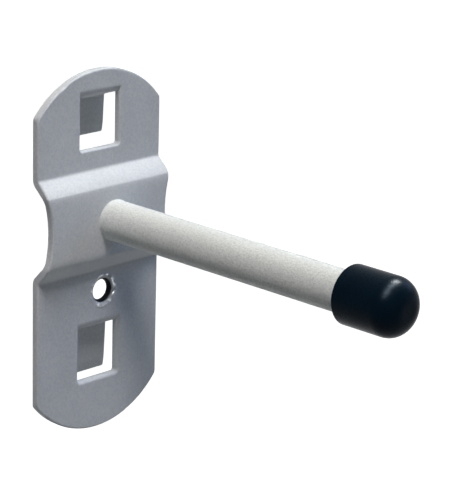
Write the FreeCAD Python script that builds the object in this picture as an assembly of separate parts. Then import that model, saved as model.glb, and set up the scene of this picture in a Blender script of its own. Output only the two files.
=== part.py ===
import FreeCAD, Part
import math
import os

# Tool hook for a perforated panel, in millimetres.
# Origin: on the axis of the locking-screw hole, in the plane of the plate's back faces
# (the faces that lie on the panel). +X to the right seen from the front, +Y into the
# panel, +Z up. The rod points along -Y.

V = FreeCAD.Vector

# Panel that the hook hangs in: holes on a square grid.
panel_pitch = 38.0

# Back plate: one piece of bent and punched sheet. The line of the rod and the screw
# hole stands a little to the right of the plate's middle.
sheet = 1.2
plate_width = 25.7
plate_middle_x = -0.9
lobe_radius = 16.4
lobe_corner_radius = 1.2
edge_roll = 0.3

# Windows that the tabs are folded out of, how far their front rims are rolled, and the
# flat sheet left above and below them.
window_width = 8.3
window_corner_radius = 0.5
lower_window_bottom = -14.46
upper_window_roll = 0.35
lower_window_roll = 0.65
top_land = 2.91
upper_joggle_land = 3.28
bottom_land = 8.43

# Raised middle of the plate, between two joggles. The heights are between the points
# where the front faces would meet without their bends.
raise_depth = 2.6
upper_joggle_height = 2.25
lower_joggle_height = 2.6
joggle_bottom = 3.76
valley_inner_radius = 0.6
crest_inner_radius = 2.0

# Waist cut in both sides of the raised middle, and how far below its centre it stands.
waist_depth = 0.86
waist_height = 11.3
waist_drop = 0.125
waist_blend_radius = 4.0

# Tabs, folded back at the top of each window and down behind the panel's sheet. A fold
# rise is from the window's bottom to the fold, a gap is the room between the plate's back
# face and the tab's knee, and an end clearance is left below the tab in its window. The
# fold's start spreads past the window's rolled rim, so the rim runs out in it.
tab_side_cut = 0.1
tab_root_spread = 0.1
tab_fold_slope = math.radians(18.7)
tab_inner_radius = 0.3
tab_lean = math.radians(3.2)
tab_flare = math.radians(9.5)
tab_flare_height = 1.5
tab_corner_radius = 0.25
tab_root_height = 1.5
upper_tab_fold_rise = 8.68
upper_tab_gap = 2.43
upper_tab_end_clearance = 1.34
lower_tab_fold_rise = 8.96
lower_tab_gap = 1.54
lower_tab_end_clearance = 0.21

# Hole for the locking screw: a wide rounded mouth in front and a light easing at the back.
screw_hole_radius = 1.68
screw_mouth_radius = 2.8
screw_mouth_depth = 0.85
screw_back_ease = 0.1

# Rod with a shouldered tenon, riveted over in the room behind the raised middle. It
# stands a little above the centre of the raised middle.
rod_radius = 3.25
rod_lift = 0.075
rod_reach = 59.1
rod_end_chamfer = 0.5
root_ring_width = 0.12
tenon_radius = 2.2
rivet_head_radius = 3.5
rivet_head_height = 1.3
rivet_head_edge = 0.3

# Soft push-on cap on the rod's free end.
cap_radius = 4.55
cap_rim_reach = 49.65
cap_end_wall = 1.3
cap_shoulder_radius = 3.4
cap_rim_easing = 0.25

# Construction values: how far cutting shapes run past the sheet, and the tolerance
# for picking edges by their place.
overrun = 5.0
pick_tolerance = 0.01

# Values that follow from the sizes above.
half_width = plate_width / 2
front_y = -sheet
raised_front_y = front_y - raise_depth
fold_start_rise = (tab_inner_radius + sheet) * math.tan(math.pi / 4 - tab_fold_slope / 2)
upper_window_bottom = lower_window_bottom + panel_pitch
upper_window_top = upper_window_bottom + upper_tab_fold_rise + fold_start_rise
lower_window_top = lower_window_bottom + lower_tab_fold_rise + fold_start_rise
plate_top = upper_window_top + top_land
plate_bottom = lower_window_bottom - bottom_land
joggle_top = upper_window_bottom - upper_joggle_land
crest_top = joggle_top - upper_joggle_height
crest_bottom = joggle_bottom + lower_joggle_height
raised_centre_z = (crest_top + crest_bottom) / 2
waist_centre_z = raised_centre_z - waist_drop
rod_axis_z = raised_centre_z + rod_lift


def same(first, second):
    return abs(first - second) < pick_tolerance


def heading(start, end):
    """Unit direction from one (y, z) point to another."""
    length = math.hypot(end[0] - start[0], end[1] - start[1])
    return ((end[0] - start[0]) / length, (end[1] - start[1]) / length)


def turn(before, after):
    """Signed turn between two headings, in radians; negative turns towards the front."""
    cross = before[0] * after[1] - before[1] * after[0]
    dot = before[0] * after[0] + before[1] * after[1]
    return math.atan2(cross, dot)


def back_line(front_line):
    """Back face of the sheet for a front face drawn downwards as (y, z) corners."""
    headings = [heading(start, end) for start, end in zip(front_line[:-1], front_line[1:])]
    headings = headings[:1] + headings + headings[-1:]
    corners = []
    for (y, z), before, after in zip(front_line, headings[:-1], headings[1:]):
        along = heading((0, 0), (before[0] + after[0], before[1] + after[1]))
        reach = sheet / math.cos(turn(before, after) / 2)
        corners.append((y - along[1] * reach, z + along[0] * reach))
    return corners


def face_edges(line, inner_radii, is_front):
    """Flats and bend arcs of one face of the sheet. Both faces of a bend share a centre."""
    edges = []
    flat_start = V(0, *line[0])
    for before_point, point, after_point, inner_radius in zip(line, line[1:], line[2:], inner_radii):
        before = heading(before_point, point)
        after = heading(point, after_point)
        angle = turn(before, after)
        is_inside = (angle < 0) == is_front
        radius = inner_radius if is_inside else inner_radius + sheet
        corner = V(0, *point)
        cut_back = radius * math.tan(abs(angle) / 2)
        arc_start = corner - V(0, *before) * cut_back
        arc_end = corner + V(0, *after) * cut_back
        to_centre = (V(0, *after) - V(0, *before)).normalize()
        arc_middle = corner + to_centre * radius * (1 / math.cos(angle / 2) - 1)
        edges.append(Part.makeLine(flat_start, arc_start))
        edges.append(Part.Arc(arc_start, arc_middle, arc_end).toShape())
        flat_start = arc_end
    edges.append(Part.makeLine(flat_start, V(0, *line[-1])))
    return edges


def bent_sheet(front_line, inner_radii, half_span):
    """Strip of sheet bent along a front line, centred on the plate's middle."""
    rear_line = back_line(front_line)
    ends = [
        Part.makeLine(V(0, *front_line[0]), V(0, *rear_line[0])),
        Part.makeLine(V(0, *front_line[-1]), V(0, *rear_line[-1])),
    ]
    edges = face_edges(front_line, inner_radii, True) + face_edges(rear_line, inner_radii, False) + ends
    strip = Part.Face(Part.Wire(Part.__sortEdges__(edges))).extrude(V(2 * half_span, 0, 0))
    strip.translate(V(plate_middle_x - half_span, 0, 0))
    return strip


def corner_edges(prism, heights):
    """Edges of a prism along Y that stand at one of the given heights."""
    chosen = []
    for edge in prism.Edges:
        first, last = edge.Vertexes[0].Point, edge.Vertexes[-1].Point
        along_y = same(first.x, last.x) and same(first.z, last.z) and not same(first.y, last.y)
        if along_y and any(same(first.z, height) for height in heights):
            chosen.append(edge)
    return chosen


def cutting_prism(outline_edges):
    """Prism along Y through the whole plate, from outline edges drawn about x = 0."""
    outline = Part.Wire(Part.__sortEdges__(outline_edges))
    prism = Part.Face(outline).extrude(V(0, 2 * overrun - raised_front_y, 0))
    prism.translate(V(plate_middle_x, raised_front_y - overrun, 0))
    return prism


def line_between(start, end):
    return Part.makeLine(V(start[0], 0, start[1]), V(end[0], 0, end[1]))


def arc_through(start, middle, end):
    points = [V(x, 0, z) for x, z in (start, middle, end)]
    return Part.Arc(*points).toShape()


def plate_outline():
    """Front view of the plate: straight sides, arched ends and a waist."""
    arch_rise = lobe_radius - math.sqrt(lobe_radius ** 2 - half_width ** 2)
    top_corner = plate_top - arch_rise
    bottom_corner = plate_bottom + arch_rise
    waist_top = waist_centre_z + waist_height / 2
    waist_bottom = waist_centre_z - waist_height / 2
    edges = [
        arc_through((-half_width, top_corner), (0, plate_top), (half_width, top_corner)),
        arc_through((-half_width, bottom_corner), (0, plate_bottom), (half_width, bottom_corner)),
    ]
    for side_x in (-half_width, half_width):
        waist_x = math.copysign(half_width - waist_depth, side_x)
        edges.append(line_between((side_x, top_corner), (side_x, waist_top)))
        edges.append(arc_through((side_x, waist_top), (waist_x, waist_centre_z), (side_x, waist_bottom)))
        edges.append(line_between((side_x, waist_bottom), (side_x, bottom_corner)))
    prism = cutting_prism(edges)
    prism = prism.makeFillet(waist_blend_radius, corner_edges(prism, (waist_top, waist_bottom)))
    return prism.makeFillet(lobe_corner_radius, corner_edges(prism, (top_corner, bottom_corner)))


def with_window(plate, bottom, top, roll):
    """The plate with one window punched from bottom to top and its front rim rolled."""
    half = window_width / 2
    corners = [(-half, top), (half, top), (half, bottom), (-half, bottom)]
    sides = [line_between(start, end) for start, end in zip(corners, corners[1:] + corners[:1])]
    prism = cutting_prism(sides)
    prism = prism.makeFillet(window_corner_radius, corner_edges(prism, (top, bottom)))
    plate = plate.cut(prism)
    rim = []
    for edge in plate.Edges:
        box = edge.BoundBox
        in_front_face = same(box.YMin, front_y) and same(box.YMax, front_y)
        between_sides = box.XMin > plate_middle_x - half - roll and box.XMax < plate_middle_x + half + roll
        if in_front_face and between_sides and box.ZMin > bottom - roll and box.ZMax < top + roll:
            rim.append(edge)
    return plate.makeFillet(roll, rim)


def front_rim_edges(plate):
    """Edges between the plate's front faces, flat or bent, and its cut sides."""
    times_met = {}
    for face in plate.Faces:
        u_start, u_end, v_start, v_end = face.ParameterRange
        normal = face.normalAt((u_start + u_end) / 2, (v_start + v_end) / 2)
        looks_forward = normal.y < 0 and same(normal.x, 0)
        level = same(face.BoundBox.ZLength, 0)
        if looks_forward and not level:
            for edge in face.Edges:
                times_met.setdefault(edge.hashCode(), []).append(edge)
    return [edges[0] for edges in times_met.values() if len(edges) == 1]


def pressed_plate():
    """Joggled sheet cut to its outline and punched, with its front rims rolled."""
    front_line = [
        (front_y, plate_top + overrun),
        (front_y, joggle_top),
        (raised_front_y, crest_top),
        (raised_front_y, crest_bottom),
        (front_y, joggle_bottom),
        (front_y, plate_bottom - overrun),
    ]
    inner_radii = [valley_inner_radius, crest_inner_radius, crest_inner_radius, valley_inner_radius]
    plate = bent_sheet(front_line, inner_radii, half_width + overrun)
    plate = plate.common(plate_outline())
    plate = plate.makeFillet(edge_roll, front_rim_edges(plate))
    plate = with_window(plate, upper_window_bottom, upper_window_top, upper_window_roll)
    return with_window(plate, lower_window_bottom, lower_window_top, lower_window_roll)


def folded_tab(window_bottom, fold_rise, gap, end_clearance, roll):
    """Tab from the top of a window: folded back, then down with a lean and a flared end."""
    fold_z = window_bottom + fold_rise
    knee_z = fold_z - (gap - front_y) * math.tan(tab_fold_slope)
    end_z = window_bottom + end_clearance
    flare_z = end_z + tab_flare_height
    flare_y = gap + (knee_z - flare_z) * math.tan(tab_lean)
    end_y = flare_y + tab_flare_height * math.tan(tab_flare)
    front_line = [
        (front_y, fold_z + fold_start_rise + tab_root_height),
        (front_y, fold_z),
        (gap, knee_z),
        (flare_y, flare_z),
        (end_y, end_z),
    ]
    inner_radii = [tab_inner_radius] * 3
    tab = bent_sheet(front_line, inner_radii, window_width / 2 - tab_side_cut)
    end_corners = []
    for edge in tab.Edges:
        first, last = edge.Vertexes[0].Point, edge.Vertexes[-1].Point
        across_sheet = same(first.x, last.x) and same(edge.Length, sheet)
        if across_sheet and max(first.z, last.z) < end_z + sheet:
            end_corners.append(edge)
    tab = tab.makeFillet(tab_corner_radius, end_corners)
    root = bent_sheet(front_line, inner_radii, window_width / 2 + roll + tab_root_spread)
    plate_room = Part.makeBox(plate_width, sheet, plate_top - window_bottom)
    plate_room.translate(V(plate_middle_x - half_width, front_y, knee_z))
    return tab.fuse(root.common(plate_room))


def turned(points, axis_z):
    """Solid turned about an axis along Y from closed (radius, y) points."""
    corners = [V(radius, y, axis_z) for radius, y in points]
    face = Part.Face(Part.makePolygon(corners + corners[:1]))
    return face.revolve(V(0, 0, axis_z), V(0, 1, 0), 360)


def screw_hole():
    """The space that the locking-screw hole takes out of the plate, its mouth an oval arc."""
    mouth_end = V(screw_hole_radius, front_y + screw_mouth_depth, 0)
    mouth_start = V(screw_mouth_radius, front_y, 0)
    mouth_centre = V(screw_mouth_radius, front_y + screw_mouth_depth, 0)
    mouth = Part.Arc(Part.Ellipse(mouth_end, mouth_start, mouth_centre), 0, math.pi / 2).toShape()
    corners = [
        mouth_end,
        V(screw_hole_radius, -screw_back_ease, 0),
        V(screw_hole_radius + overrun, overrun - screw_back_ease, 0),
        V(0, overrun - screw_back_ease, 0),
        V(0, front_y - overrun, 0),
        V(screw_mouth_radius, front_y - overrun, 0),
        mouth_start,
    ]
    sides = [Part.makeLine(start, end) for start, end in zip(corners, corners[1:])]
    face = Part.Face(Part.Wire(Part.__sortEdges__(sides + [mouth])))
    return face.revolve(V(0, 0, 0), V(0, 1, 0), 360)


def make_hook_rod():
    """Rod, root ring and tenon turned in one, with a low domed rivet head at the back."""
    back_y = raised_front_y + sheet
    end_y = raised_front_y - rod_reach
    bar = turned([
        (0, back_y + rivet_head_edge),
        (rivet_head_radius, back_y + rivet_head_edge),
        (rivet_head_radius, back_y),
        (tenon_radius, back_y),
        (tenon_radius, raised_front_y),
        (rod_radius + root_ring_width, raised_front_y),
        (rod_radius, raised_front_y - root_ring_width),
        (rod_radius, end_y + rod_end_chamfer),
        (rod_radius - rod_end_chamfer, end_y),
        (0, end_y),
    ], rod_axis_z)
    dome_rise = rivet_head_height - rivet_head_edge
    ball_radius = (rivet_head_radius ** 2 + dome_rise ** 2) / (2 * dome_rise)
    ball = Part.makeSphere(ball_radius, V(0, back_y + rivet_head_height - ball_radius, rod_axis_z))
    head_room = Part.makeCylinder(rivet_head_radius, overrun, V(0, back_y, rod_axis_z), V(0, 1, 0))
    return bar.fuse(ball.common(head_room)).removeSplitter()


def make_back_plate():
    plate = pressed_plate()
    plate = plate.fuse(folded_tab(
        upper_window_bottom, upper_tab_fold_rise, upper_tab_gap, upper_tab_end_clearance,
        upper_window_roll))
    plate = plate.fuse(folded_tab(
        lower_window_bottom, lower_tab_fold_rise, lower_tab_gap, lower_tab_end_clearance,
        lower_window_roll))
    return plate.cut(screw_hole()).cut(make_hook_rod()).removeSplitter()


def make_end_cap():
    """Blind soft cap, its socket filled by the end of the rod."""
    rim_y = raised_front_y - cap_rim_reach
    length = rod_reach + cap_end_wall - cap_rim_reach
    cap = Part.makeCylinder(cap_radius, length, V(0, rim_y, rod_axis_z), V(0, -1, 0))
    for circle_y, radius in ((rim_y - length, cap_shoulder_radius), (rim_y, cap_rim_easing)):
        circles = [edge for edge in cap.Edges if same(edge.BoundBox.YLength, 0)]
        rim = [edge for edge in circles if same(edge.BoundBox.YMin, circle_y)]
        cap = cap.makeFillet(radius, rim)
    return cap.cut(make_hook_rod())


os.makedirs("parts", exist_ok=True)
make_back_plate().exportStep("parts/back_plate.step")
make_hook_rod().exportStep("parts/hook_rod.step")
make_end_cap().exportStep("parts/end_cap.step")
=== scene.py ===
import math

import bpy
from mathutils import Matrix, Vector


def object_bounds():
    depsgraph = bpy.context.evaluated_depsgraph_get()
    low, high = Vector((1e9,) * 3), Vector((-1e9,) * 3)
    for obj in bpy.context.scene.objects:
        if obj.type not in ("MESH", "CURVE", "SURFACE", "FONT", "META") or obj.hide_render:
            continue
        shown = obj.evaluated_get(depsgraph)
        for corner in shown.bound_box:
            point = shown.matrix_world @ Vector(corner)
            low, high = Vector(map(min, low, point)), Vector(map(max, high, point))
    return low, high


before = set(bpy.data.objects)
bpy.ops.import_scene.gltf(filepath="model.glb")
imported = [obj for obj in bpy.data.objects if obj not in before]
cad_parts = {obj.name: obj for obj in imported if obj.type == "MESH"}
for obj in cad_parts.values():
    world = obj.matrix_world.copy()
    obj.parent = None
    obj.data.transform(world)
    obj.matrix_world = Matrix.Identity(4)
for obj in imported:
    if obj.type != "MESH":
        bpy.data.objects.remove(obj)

cad_low, cad_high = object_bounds()

# Looks of the tool hook, in metres. The frame is the part's own: +X right, +Y into the
# panel, +Z up, with the rod along -Y.

# Camera, fitted to the photograph's edges: where it stands, where it looks, its lens and the
# distances between which it sees.
CAMERA_PLACE = Vector((-0.241902, -0.262652, 0.115799))
CAMERA_AZIMUTH = math.radians(-45.875)
CAMERA_ELEVATION = math.radians(16.970)
CAMERA_ROLL = math.radians(1.527)
CAMERA_SENSOR = 36.0
CAMERA_LENS = 168.996
CAMERA_CLIP = (0.01, 20.0)

# Studio: a pale floor well below the hanging part, in surroundings that are white to see and
# to mirror and give no other light.
WHITE = (1.0, 1.0, 1.0, 1.0)
FLOOR_DROP = 0.36
FLOOR_HALF_WIDTH = 4.0
FLOOR_COLOUR = (0.45, 0.45, 0.45, 1.0)
FLOOR_ROUGHNESS = 0.9
SKY_STRENGTH = 0.0
STUDIO_CENTRE = Vector((0.0, -0.02, 0.01))

# Soft lamps: direction seen from the part, distance, width, depth along the rod, level and
# colour. A lamp's level is the light it gives a white surface that faces it, where 1 shows
# the surface as white.
LAMPS = {
    "key": ((-0.355, -0.31, 1.0), 0.80, 0.24, 0.38, 0.84, (1.0, 0.955, 0.95)),
    "right_top": ((0.58, -0.06, 1.0), 0.80, 0.26, 0.20, 0.40, (1.0, 1.0, 0.84)),
    "right_fill": ((1.0, -0.26, 0.60), 0.60, 0.30, 0.30, 0.34, (0.35, 0.55, 1.0)),
    "front_fill": ((-0.35, -1.0, 0.25), 0.80, 0.50, 0.50, 0.04, (0.95, 1.0, 1.0)),
    "back_fill": ((0.15, 1.0, 0.15), 0.80, 0.50, 0.50, 0.22, (0.96, 0.98, 1.0)),
}

# A band of light overhead that shows in gloss alone and draws the highlight on the cap: the
# direction and level of each box in it, and what the boxes share.
BAND = {
    "band_left": ((-0.66, -0.36, 1.0), 0.90),
    "band_middle_left": ((-0.28, -0.25, 1.0), 1.30),
    "band_middle_right": ((0.12, -0.14, 1.0), 2.10),
    "band_right": ((0.58, 0.01, 1.0), 4.00),
}
BAND_DISTANCE = 0.78
BAND_BOX_WIDTH = 0.28
BAND_BOX_DEPTH = 0.20
BAND_COLOUR = (1.0, 1.0, 1.0)

# Noise: a scale is per metre, a detail is how many finer layers lie on it, and a spread is
# the part of its values that a change takes up. A bump is its depth and its strength.
NOISE_SPREAD = (0.30, 0.70)

# Plate: bluish silver paint with fine flakes, and painted shade that darkens the screw hole's wall to
# near black.
PLATE_COLOUR = (0.610, 0.637, 0.652, 1.0)
PLATE_COLOUR_PALE = (0.660, 0.687, 0.702, 1.0)
PLATE_CLOUD_SCALE = 160.0
PLATE_CLOUD_DETAIL = 3.0
PLATE_FLAKE_DARK = (0.88, 0.89, 0.93, 1.0)
PLATE_FLAKE_SCALE = 2800.0
PLATE_FLAKE_SPREAD = (0.35, 0.65)
PLATE_FLAKE_BUMP = (0.00001, 0.3)
PLATE_PEEL_SCALE = 1100.0
PLATE_PEEL_BUMP = (0.00004, 0.25)
PLATE_ROUGHNESS = (0.46, 0.60)
PLATE_SPECULAR = 0.03
# Painted shade in the screw hole: its wall is near black, fading out between these distances from the
# hole's axis.
HOLE_PAINTED_SHADE = (0.010, 0.012, 0.016, 1.0)
HOLE_SHADE_RADII = (0.00190, 0.00215)

# The hole's rim is pressed up a little and unevenly, and burnished: ring from its inside to
# its outside, where on that way it is highest, its bump, how low it gets, its metal and
# gloss, and how far back from the front it reaches.
RIM_RING = (0.00200, 0.00310)
RIM_CREST = 0.40
RIM_BUMP = (0.0003, 1.0)
RIM_LOW = (0.12, 0.12, 0.12, 1.0)
RIM_SCALE = 850.0
RIM_DETAIL = 1.0
RIM_SPREAD = (0.45, 0.60)
RIM_METAL = (0.0, 0.55)
RIM_ROUGHNESS = 0.30
RIM_FRONT = (-0.0010, -0.0005)

# The raised middle's two bends look sharper than their radius: heights where each bend
# begins, is in its middle and ends, the ridge that the shading gives it, how rounded and
# how steep that ridge is, and how far along Y the normals of the faces that have it point.
UPPER_BEND = (0.01655, 0.01788, 0.01897)
LOWER_BEND = (0.00769, 0.00646, 0.00542)
BEND_BUMP = (0.00019, 1.0)
BEND_ROUNDING = 0.45
BEND_STEEPNESS = 2.0
BEND_FACING = (-0.3, -0.1)

# Rod: pale silver paint with a fine speckle and mottle.
ROD_COLOUR = (0.712, 0.738, 0.722, 1.0)
ROD_FLECK_DARK = (0.590, 0.615, 0.602, 1.0)
ROD_FLECK_SCALE = 3000.0
ROD_FLECK_SPREAD = (0.34, 0.56)
ROD_FLECK_BUMP = (0.00004, 0.5)
ROD_MOTTLE_DARK = (0.95, 0.95, 0.95, 1.0)
ROD_MOTTLE_SCALE = 2100.0
ROD_MOTTLE_SPREAD = (0.42, 0.56)
ROD_MOTTLE_BUMP = (0.00007, 0.6)
ROD_NOISE_ROUGHNESS = 0.6
ROD_ROUGHNESS = (0.46, 0.58)
ROD_SPECULAR = 0.06

# Cap: very dark blue soft plastic.
CAP_COLOUR = (0.0002, 0.0045, 0.0105, 1.0)
CAP_COLOUR_PALE = (0.0006, 0.0065, 0.0140, 1.0)
CAP_CLOUD_SCALE = 260.0
CAP_GRAIN_SCALE = 3000.0
CAP_GRAIN_BUMP = (0.00001, 0.2)
CAP_ROUGHNESS = (0.26, 0.32)
CAP_SPECULAR = 0.028
CAP_SPECULAR_TINT = (0.75, 0.90, 1.0, 1.0)


def new_material(name):
    material = bpy.data.materials.new(name)
    material.use_nodes = True
    tree = material.node_tree
    return material, tree, tree.nodes["Principled BSDF"]


def feed(tree, source, socket):
    """Gives a socket a node's output or a plain value."""
    if isinstance(source, bpy.types.NodeSocket):
        tree.links.new(source, socket)
    else:
        socket.default_value = source


def own_place(tree):
    """Place on the object itself, so that a pattern stays put in every view."""
    return tree.nodes.new("ShaderNodeTexCoord").outputs["Object"]


def noise(tree, scale, detail=2.0, rough=0.5):
    node = tree.nodes.new("ShaderNodeTexNoise")
    feed(tree, own_place(tree), node.inputs["Vector"])
    feed(tree, scale, node.inputs["Scale"])
    feed(tree, detail, node.inputs["Detail"])
    feed(tree, rough, node.inputs["Roughness"])
    return node.outputs["Fac"]


def ramp(tree, value, stops, step="LINEAR"):
    node = tree.nodes.new("ShaderNodeValToRGB")
    node.color_ramp.interpolation = step
    marks = node.color_ramp.elements
    while len(marks) < len(stops):
        # Its place is set in the next loop.
        marks.new(0.5)
    for mark, (place, colour) in zip(marks, stops):
        mark.position = place
        mark.color = colour
    feed(tree, value, node.inputs["Fac"])
    return node.outputs["Color"]


def two_tone(tree, value, spread, first, second):
    """One colour below the spread, the other above it."""
    return ramp(tree, value, list(zip(spread, (first, second))))


def stretched(tree, value, old, new=(0.0, 1.0), step="LINEAR"):
    """A value's old range brought to a new one, and held at its ends."""
    node = tree.nodes.new("ShaderNodeMapRange")
    node.interpolation_type = step
    for name, bound in zip(("From Min", "From Max", "To Min", "To Max"), (*old, *new)):
        feed(tree, bound, node.inputs[name])
    feed(tree, value, node.inputs["Value"])
    return node.outputs["Result"]


def fading(tree, value, bounds):
    """1 below the bounds, 0 above them, with a soft step between."""
    return stretched(tree, value, bounds, (1.0, 0.0), "SMOOTHSTEP")


def combined(tree, how, *sources):
    """Numbers put together by one Math node."""
    node = tree.nodes.new("ShaderNodeMath")
    node.operation = how
    for source, socket in zip(sources, node.inputs):
        feed(tree, source, socket)
    return node.outputs["Value"]


def blended(tree, factor, first, second):
    """The first number where the factor is 0, the second where it is 1."""
    node = tree.nodes.new("ShaderNodeMix")
    for name, source in (("Factor", factor), ("A", first), ("B", second)):
        feed(tree, source, node.inputs[name])
    return node.outputs["Result"]


def mixed(tree, how, factor, first, second):
    """Two colours put together. A Mix node's colours are its sockets 6 and 7, and its result 2."""
    node = tree.nodes.new("ShaderNodeMix")
    node.data_type = "RGBA"
    node.blend_type = how
    for key, source in (("Factor", factor), (6, first), (7, second)):
        feed(tree, source, node.inputs[key])
    return node.outputs[2]


def bump(tree, height, depth, strength, under=None):
    node = tree.nodes.new("ShaderNodeBump")
    feed(tree, strength, node.inputs["Strength"])
    feed(tree, depth, node.inputs["Distance"])
    feed(tree, height, node.inputs["Height"])
    if under is not None:
        feed(tree, under, node.inputs["Normal"])
    return node.outputs["Normal"]


def axis_of(tree, vector, axis):
    apart = tree.nodes.new("ShaderNodeSeparateXYZ")
    feed(tree, vector, apart.inputs["Vector"])
    return apart.outputs[axis]


def hole_distance(tree):
    """Distance to the screw hole's axis, which is the Y axis."""
    without_y = (1.0, 0.0, 1.0)
    flat = tree.nodes.new("ShaderNodeVectorMath")
    flat.operation = "MULTIPLY"
    feed(tree, own_place(tree), flat.inputs[0])
    feed(tree, without_y, flat.inputs[1])
    radius = tree.nodes.new("ShaderNodeVectorMath")
    radius.operation = "LENGTH"
    feed(tree, flat.outputs["Vector"], radius.inputs[0])
    return radius.outputs["Value"]


def pressed_rim(tree):
    """Height of the ring around the screw hole, uneven along it, on the plate's front."""
    black = (0.0, 0.0, 0.0, 1.0)
    across = stretched(tree, hole_distance(tree), RIM_RING)
    ring = ramp(tree, across, [(0.0, black), (RIM_CREST, WHITE), (1.0, black)], "EASE")
    uneven = two_tone(tree, noise(tree, RIM_SCALE, RIM_DETAIL), RIM_SPREAD, RIM_LOW, WHITE)
    in_front = fading(tree, axis_of(tree, own_place(tree), "Y"), RIM_FRONT)
    return mixed(tree, "MULTIPLY", 1.0, mixed(tree, "MULTIPLY", 1.0, ring, uneven), in_front)


def bend_ridge(tree, height, bend):
    """0 outside the bend, rising ever faster to a rounded top in its middle."""
    begin, middle, end = bend
    sides = [stretched(tree, height, (edge, middle)) for edge in (begin, end)]
    ridge = combined(tree, "SMOOTH_MIN", *sides, BEND_ROUNDING)
    return combined(tree, "POWER", ridge, BEND_STEEPNESS)


def sharper_bends(tree):
    """Ridge along the raised middle's two bends, on its front alone."""
    height = axis_of(tree, own_place(tree), "Z")
    facing = axis_of(tree, tree.nodes.new("ShaderNodeNewGeometry").outputs["Normal"], "Y")
    ridges = [bend_ridge(tree, height, bend) for bend in (UPPER_BEND, LOWER_BEND)]
    on_front = fading(tree, facing, BEND_FACING)
    return combined(tree, "MULTIPLY", combined(tree, "MAXIMUM", *ridges), on_front)


def plate_paint():
    material, tree, shader = new_material("plate_paint")
    clouds = noise(tree, PLATE_CLOUD_SCALE, PLATE_CLOUD_DETAIL)
    flakes = noise(tree, PLATE_FLAKE_SCALE)
    peel = noise(tree, PLATE_PEEL_SCALE)
    paint = two_tone(tree, clouds, NOISE_SPREAD, PLATE_COLOUR, PLATE_COLOUR_PALE)
    speckle = two_tone(tree, flakes, PLATE_FLAKE_SPREAD, PLATE_FLAKE_DARK, WHITE)
    paint = mixed(tree, "MULTIPLY", 1.0, paint, speckle)
    # Painted shade: the screw hole's wall is darkened to near black.
    in_hole_shade = fading(tree, hole_distance(tree), HOLE_SHADE_RADII)
    feed(tree, mixed(tree, "MIX", in_hole_shade, paint, HOLE_PAINTED_SHADE), shader.inputs["Base Color"])
    rim_height = pressed_rim(tree)
    feed(tree, stretched(tree, rim_height, NOISE_SPREAD, RIM_METAL), shader.inputs["Metallic"])
    roughness = stretched(tree, flakes, NOISE_SPREAD, PLATE_ROUGHNESS)
    feed(tree, blended(tree, rim_height, roughness, RIM_ROUGHNESS), shader.inputs["Roughness"])
    bends = bump(tree, sharper_bends(tree), *BEND_BUMP)
    rim = bump(tree, rim_height, *RIM_BUMP, bends)
    soft = bump(tree, peel, *PLATE_PEEL_BUMP, rim)
    feed(tree, bump(tree, flakes, *PLATE_FLAKE_BUMP, soft), shader.inputs["Normal"])
    feed(tree, PLATE_SPECULAR, shader.inputs["Specular IOR Level"])
    return material


def rod_paint():
    material, tree, shader = new_material("rod_paint")
    flecks = noise(tree, ROD_FLECK_SCALE, rough=ROD_NOISE_ROUGHNESS)
    mottle = noise(tree, ROD_MOTTLE_SCALE, rough=ROD_NOISE_ROUGHNESS)
    paint = two_tone(tree, flecks, ROD_FLECK_SPREAD, ROD_FLECK_DARK, ROD_COLOUR)
    patches = two_tone(tree, mottle, ROD_MOTTLE_SPREAD, ROD_MOTTLE_DARK, WHITE)
    feed(tree, mixed(tree, "MULTIPLY", 1.0, paint, patches), shader.inputs["Base Color"])
    feed(tree, stretched(tree, flecks, NOISE_SPREAD, ROD_ROUGHNESS), shader.inputs["Roughness"])
    uneven = bump(tree, mottle, *ROD_MOTTLE_BUMP)
    feed(tree, bump(tree, flecks, *ROD_FLECK_BUMP, uneven), shader.inputs["Normal"])
    feed(tree, ROD_SPECULAR, shader.inputs["Specular IOR Level"])
    return material


def cap_plastic():
    material, tree, shader = new_material("cap_plastic")
    clouds = noise(tree, CAP_CLOUD_SCALE)
    grain = noise(tree, CAP_GRAIN_SCALE)
    colour = two_tone(tree, clouds, NOISE_SPREAD, CAP_COLOUR, CAP_COLOUR_PALE)
    feed(tree, colour, shader.inputs["Base Color"])
    feed(tree, stretched(tree, grain, NOISE_SPREAD, CAP_ROUGHNESS), shader.inputs["Roughness"])
    feed(tree, bump(tree, grain, *CAP_GRAIN_BUMP), shader.inputs["Normal"])
    feed(tree, CAP_SPECULAR, shader.inputs["Specular IOR Level"])
    feed(tree, CAP_SPECULAR_TINT, shader.inputs["Specular Tint"])
    return material


def give(node_name, material):
    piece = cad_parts[node_name]
    piece.data.materials.clear()
    piece.data.materials.append(material)


def seen_directly(tree):
    """1 for camera, glossy and transmission rays, 0 for all others."""
    path = tree.nodes.new("ShaderNodeLightPath")
    total = path.outputs["Is Camera Ray"]
    for name in ("Is Glossy Ray", "Is Transmission Ray"):
        total = combined(tree, "MAXIMUM", total, path.outputs[name])
    return total


def make_world():
    """White surroundings to see and to mirror, apart from the light that the sky gives."""
    world = bpy.data.worlds.new("studio")
    bpy.context.scene.world = world
    world.use_nodes = True
    tree = world.node_tree
    light = tree.nodes["Background"]
    feed(tree, WHITE, light.inputs["Color"])
    feed(tree, SKY_STRENGTH, light.inputs["Strength"])
    white = tree.nodes.new("ShaderNodeBackground")
    feed(tree, WHITE, white.inputs["Color"])
    feed(tree, 1.0, white.inputs["Strength"])
    choose = tree.nodes.new("ShaderNodeMixShader")
    feed(tree, seen_directly(tree), choose.inputs["Fac"])
    feed(tree, light.outputs["Background"], choose.inputs[1])
    feed(tree, white.outputs["Background"], choose.inputs[2])
    feed(tree, choose.outputs["Shader"], tree.nodes["World Output"].inputs["Surface"])


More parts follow.
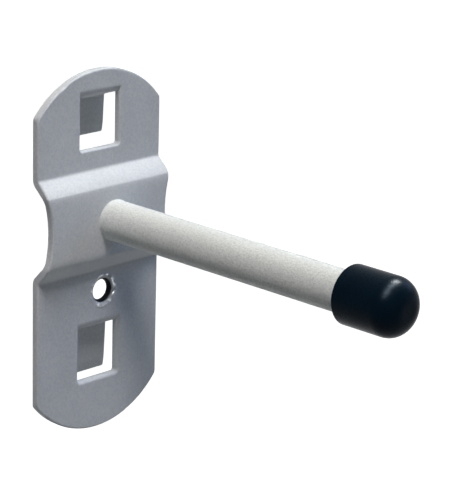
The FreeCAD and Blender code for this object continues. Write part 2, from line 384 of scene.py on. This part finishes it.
def make_floor():
    """A floor that reflects the lamps' light and is white to see and to mirror."""
    half = FLOOR_HALF_WIDTH
    level = cad_low.z - FLOOR_DROP
    mesh = bpy.data.meshes.new("floor")
    corners = [(-half, -half, level), (half, -half, level), (half, half, level), (-half, half, level)]
    mesh.from_pydata(corners, [], [(0, 1, 2, 3)])
    floor = bpy.data.objects.new("floor", mesh)
    bpy.context.scene.collection.objects.link(floor)
    material, tree, shader = new_material("floor_white")
    feed(tree, FLOOR_COLOUR, shader.inputs["Base Color"])
    feed(tree, FLOOR_ROUGHNESS, shader.inputs["Roughness"])
    glow = tree.nodes.new("ShaderNodeEmission")
    feed(tree, WHITE, glow.inputs["Color"])
    feed(tree, seen_directly(tree), glow.inputs["Strength"])
    add = tree.nodes.new("ShaderNodeAddShader")
    feed(tree, shader.outputs["BSDF"], add.inputs[0])
    feed(tree, glow.outputs["Emission"], add.inputs[1])
    feed(tree, add.outputs["Shader"], tree.nodes["Material Output"].inputs["Surface"])
    mesh.materials.append(material)


def lamp(name, towards, distance, width, depth, level, colour):
    """Soft box seen from the part in the given direction, its depth along the rod."""
    data = bpy.data.lights.new(name, "AREA")
    data.shape = "RECTANGLE"
    data.size = width
    data.size_y = depth
    data.energy = level * (math.pi * distance) ** 2
    data.color = colour
    box = bpy.data.objects.new(name, data)
    direction = Vector(towards).normalized()
    along_rod = Vector((0.0, 1.0, 0.0))
    side = along_rod.cross(direction).normalized()
    turn = Matrix((side, direction.cross(side), direction)).transposed()
    box.matrix_world = Matrix.Translation(STUDIO_CENTRE + direction * distance) @ turn.to_4x4()
    box.visible_camera = False
    bpy.context.scene.collection.objects.link(box)
    return box


def make_lamps():
    for name, values in LAMPS.items():
        lamp(name, *values)
    for name, (towards, level) in BAND.items():
        box = lamp(name, towards, BAND_DISTANCE, BAND_BOX_WIDTH, BAND_BOX_DEPTH, level, BAND_COLOUR)
        box.visible_diffuse = False


def make_camera():
    right = Vector((math.cos(CAMERA_AZIMUTH), math.sin(CAMERA_AZIMUTH), 0.0))
    back = Vector((
        math.sin(CAMERA_AZIMUTH) * math.cos(CAMERA_ELEVATION),
        -math.cos(CAMERA_AZIMUTH) * math.cos(CAMERA_ELEVATION),
        math.sin(CAMERA_ELEVATION),
    ))
    up = back.cross(right)
    rolled_right = right * math.cos(CAMERA_ROLL) + up * math.sin(CAMERA_ROLL)
    rolled_up = up * math.cos(CAMERA_ROLL) - right * math.sin(CAMERA_ROLL)
    data = bpy.data.cameras.new("camera")
    data.sensor_width = CAMERA_SENSOR
    data.lens = CAMERA_LENS
    data.clip_start, data.clip_end = CAMERA_CLIP
    camera = bpy.data.objects.new("camera", data)
    turn = Matrix((rolled_right, rolled_up, back)).transposed()
    camera.matrix_world = Matrix.Translation(CAMERA_PLACE) @ turn.to_4x4()
    bpy.context.scene.collection.objects.link(camera)
    bpy.context.scene.camera = camera


bpy.context.scene.view_settings.view_transform = "Standard"
give("back_plate", plate_paint())
give("hook_rod", rod_paint())
give("end_cap", cap_plastic())
make_world()
make_floor()
make_lamps()
make_camera()
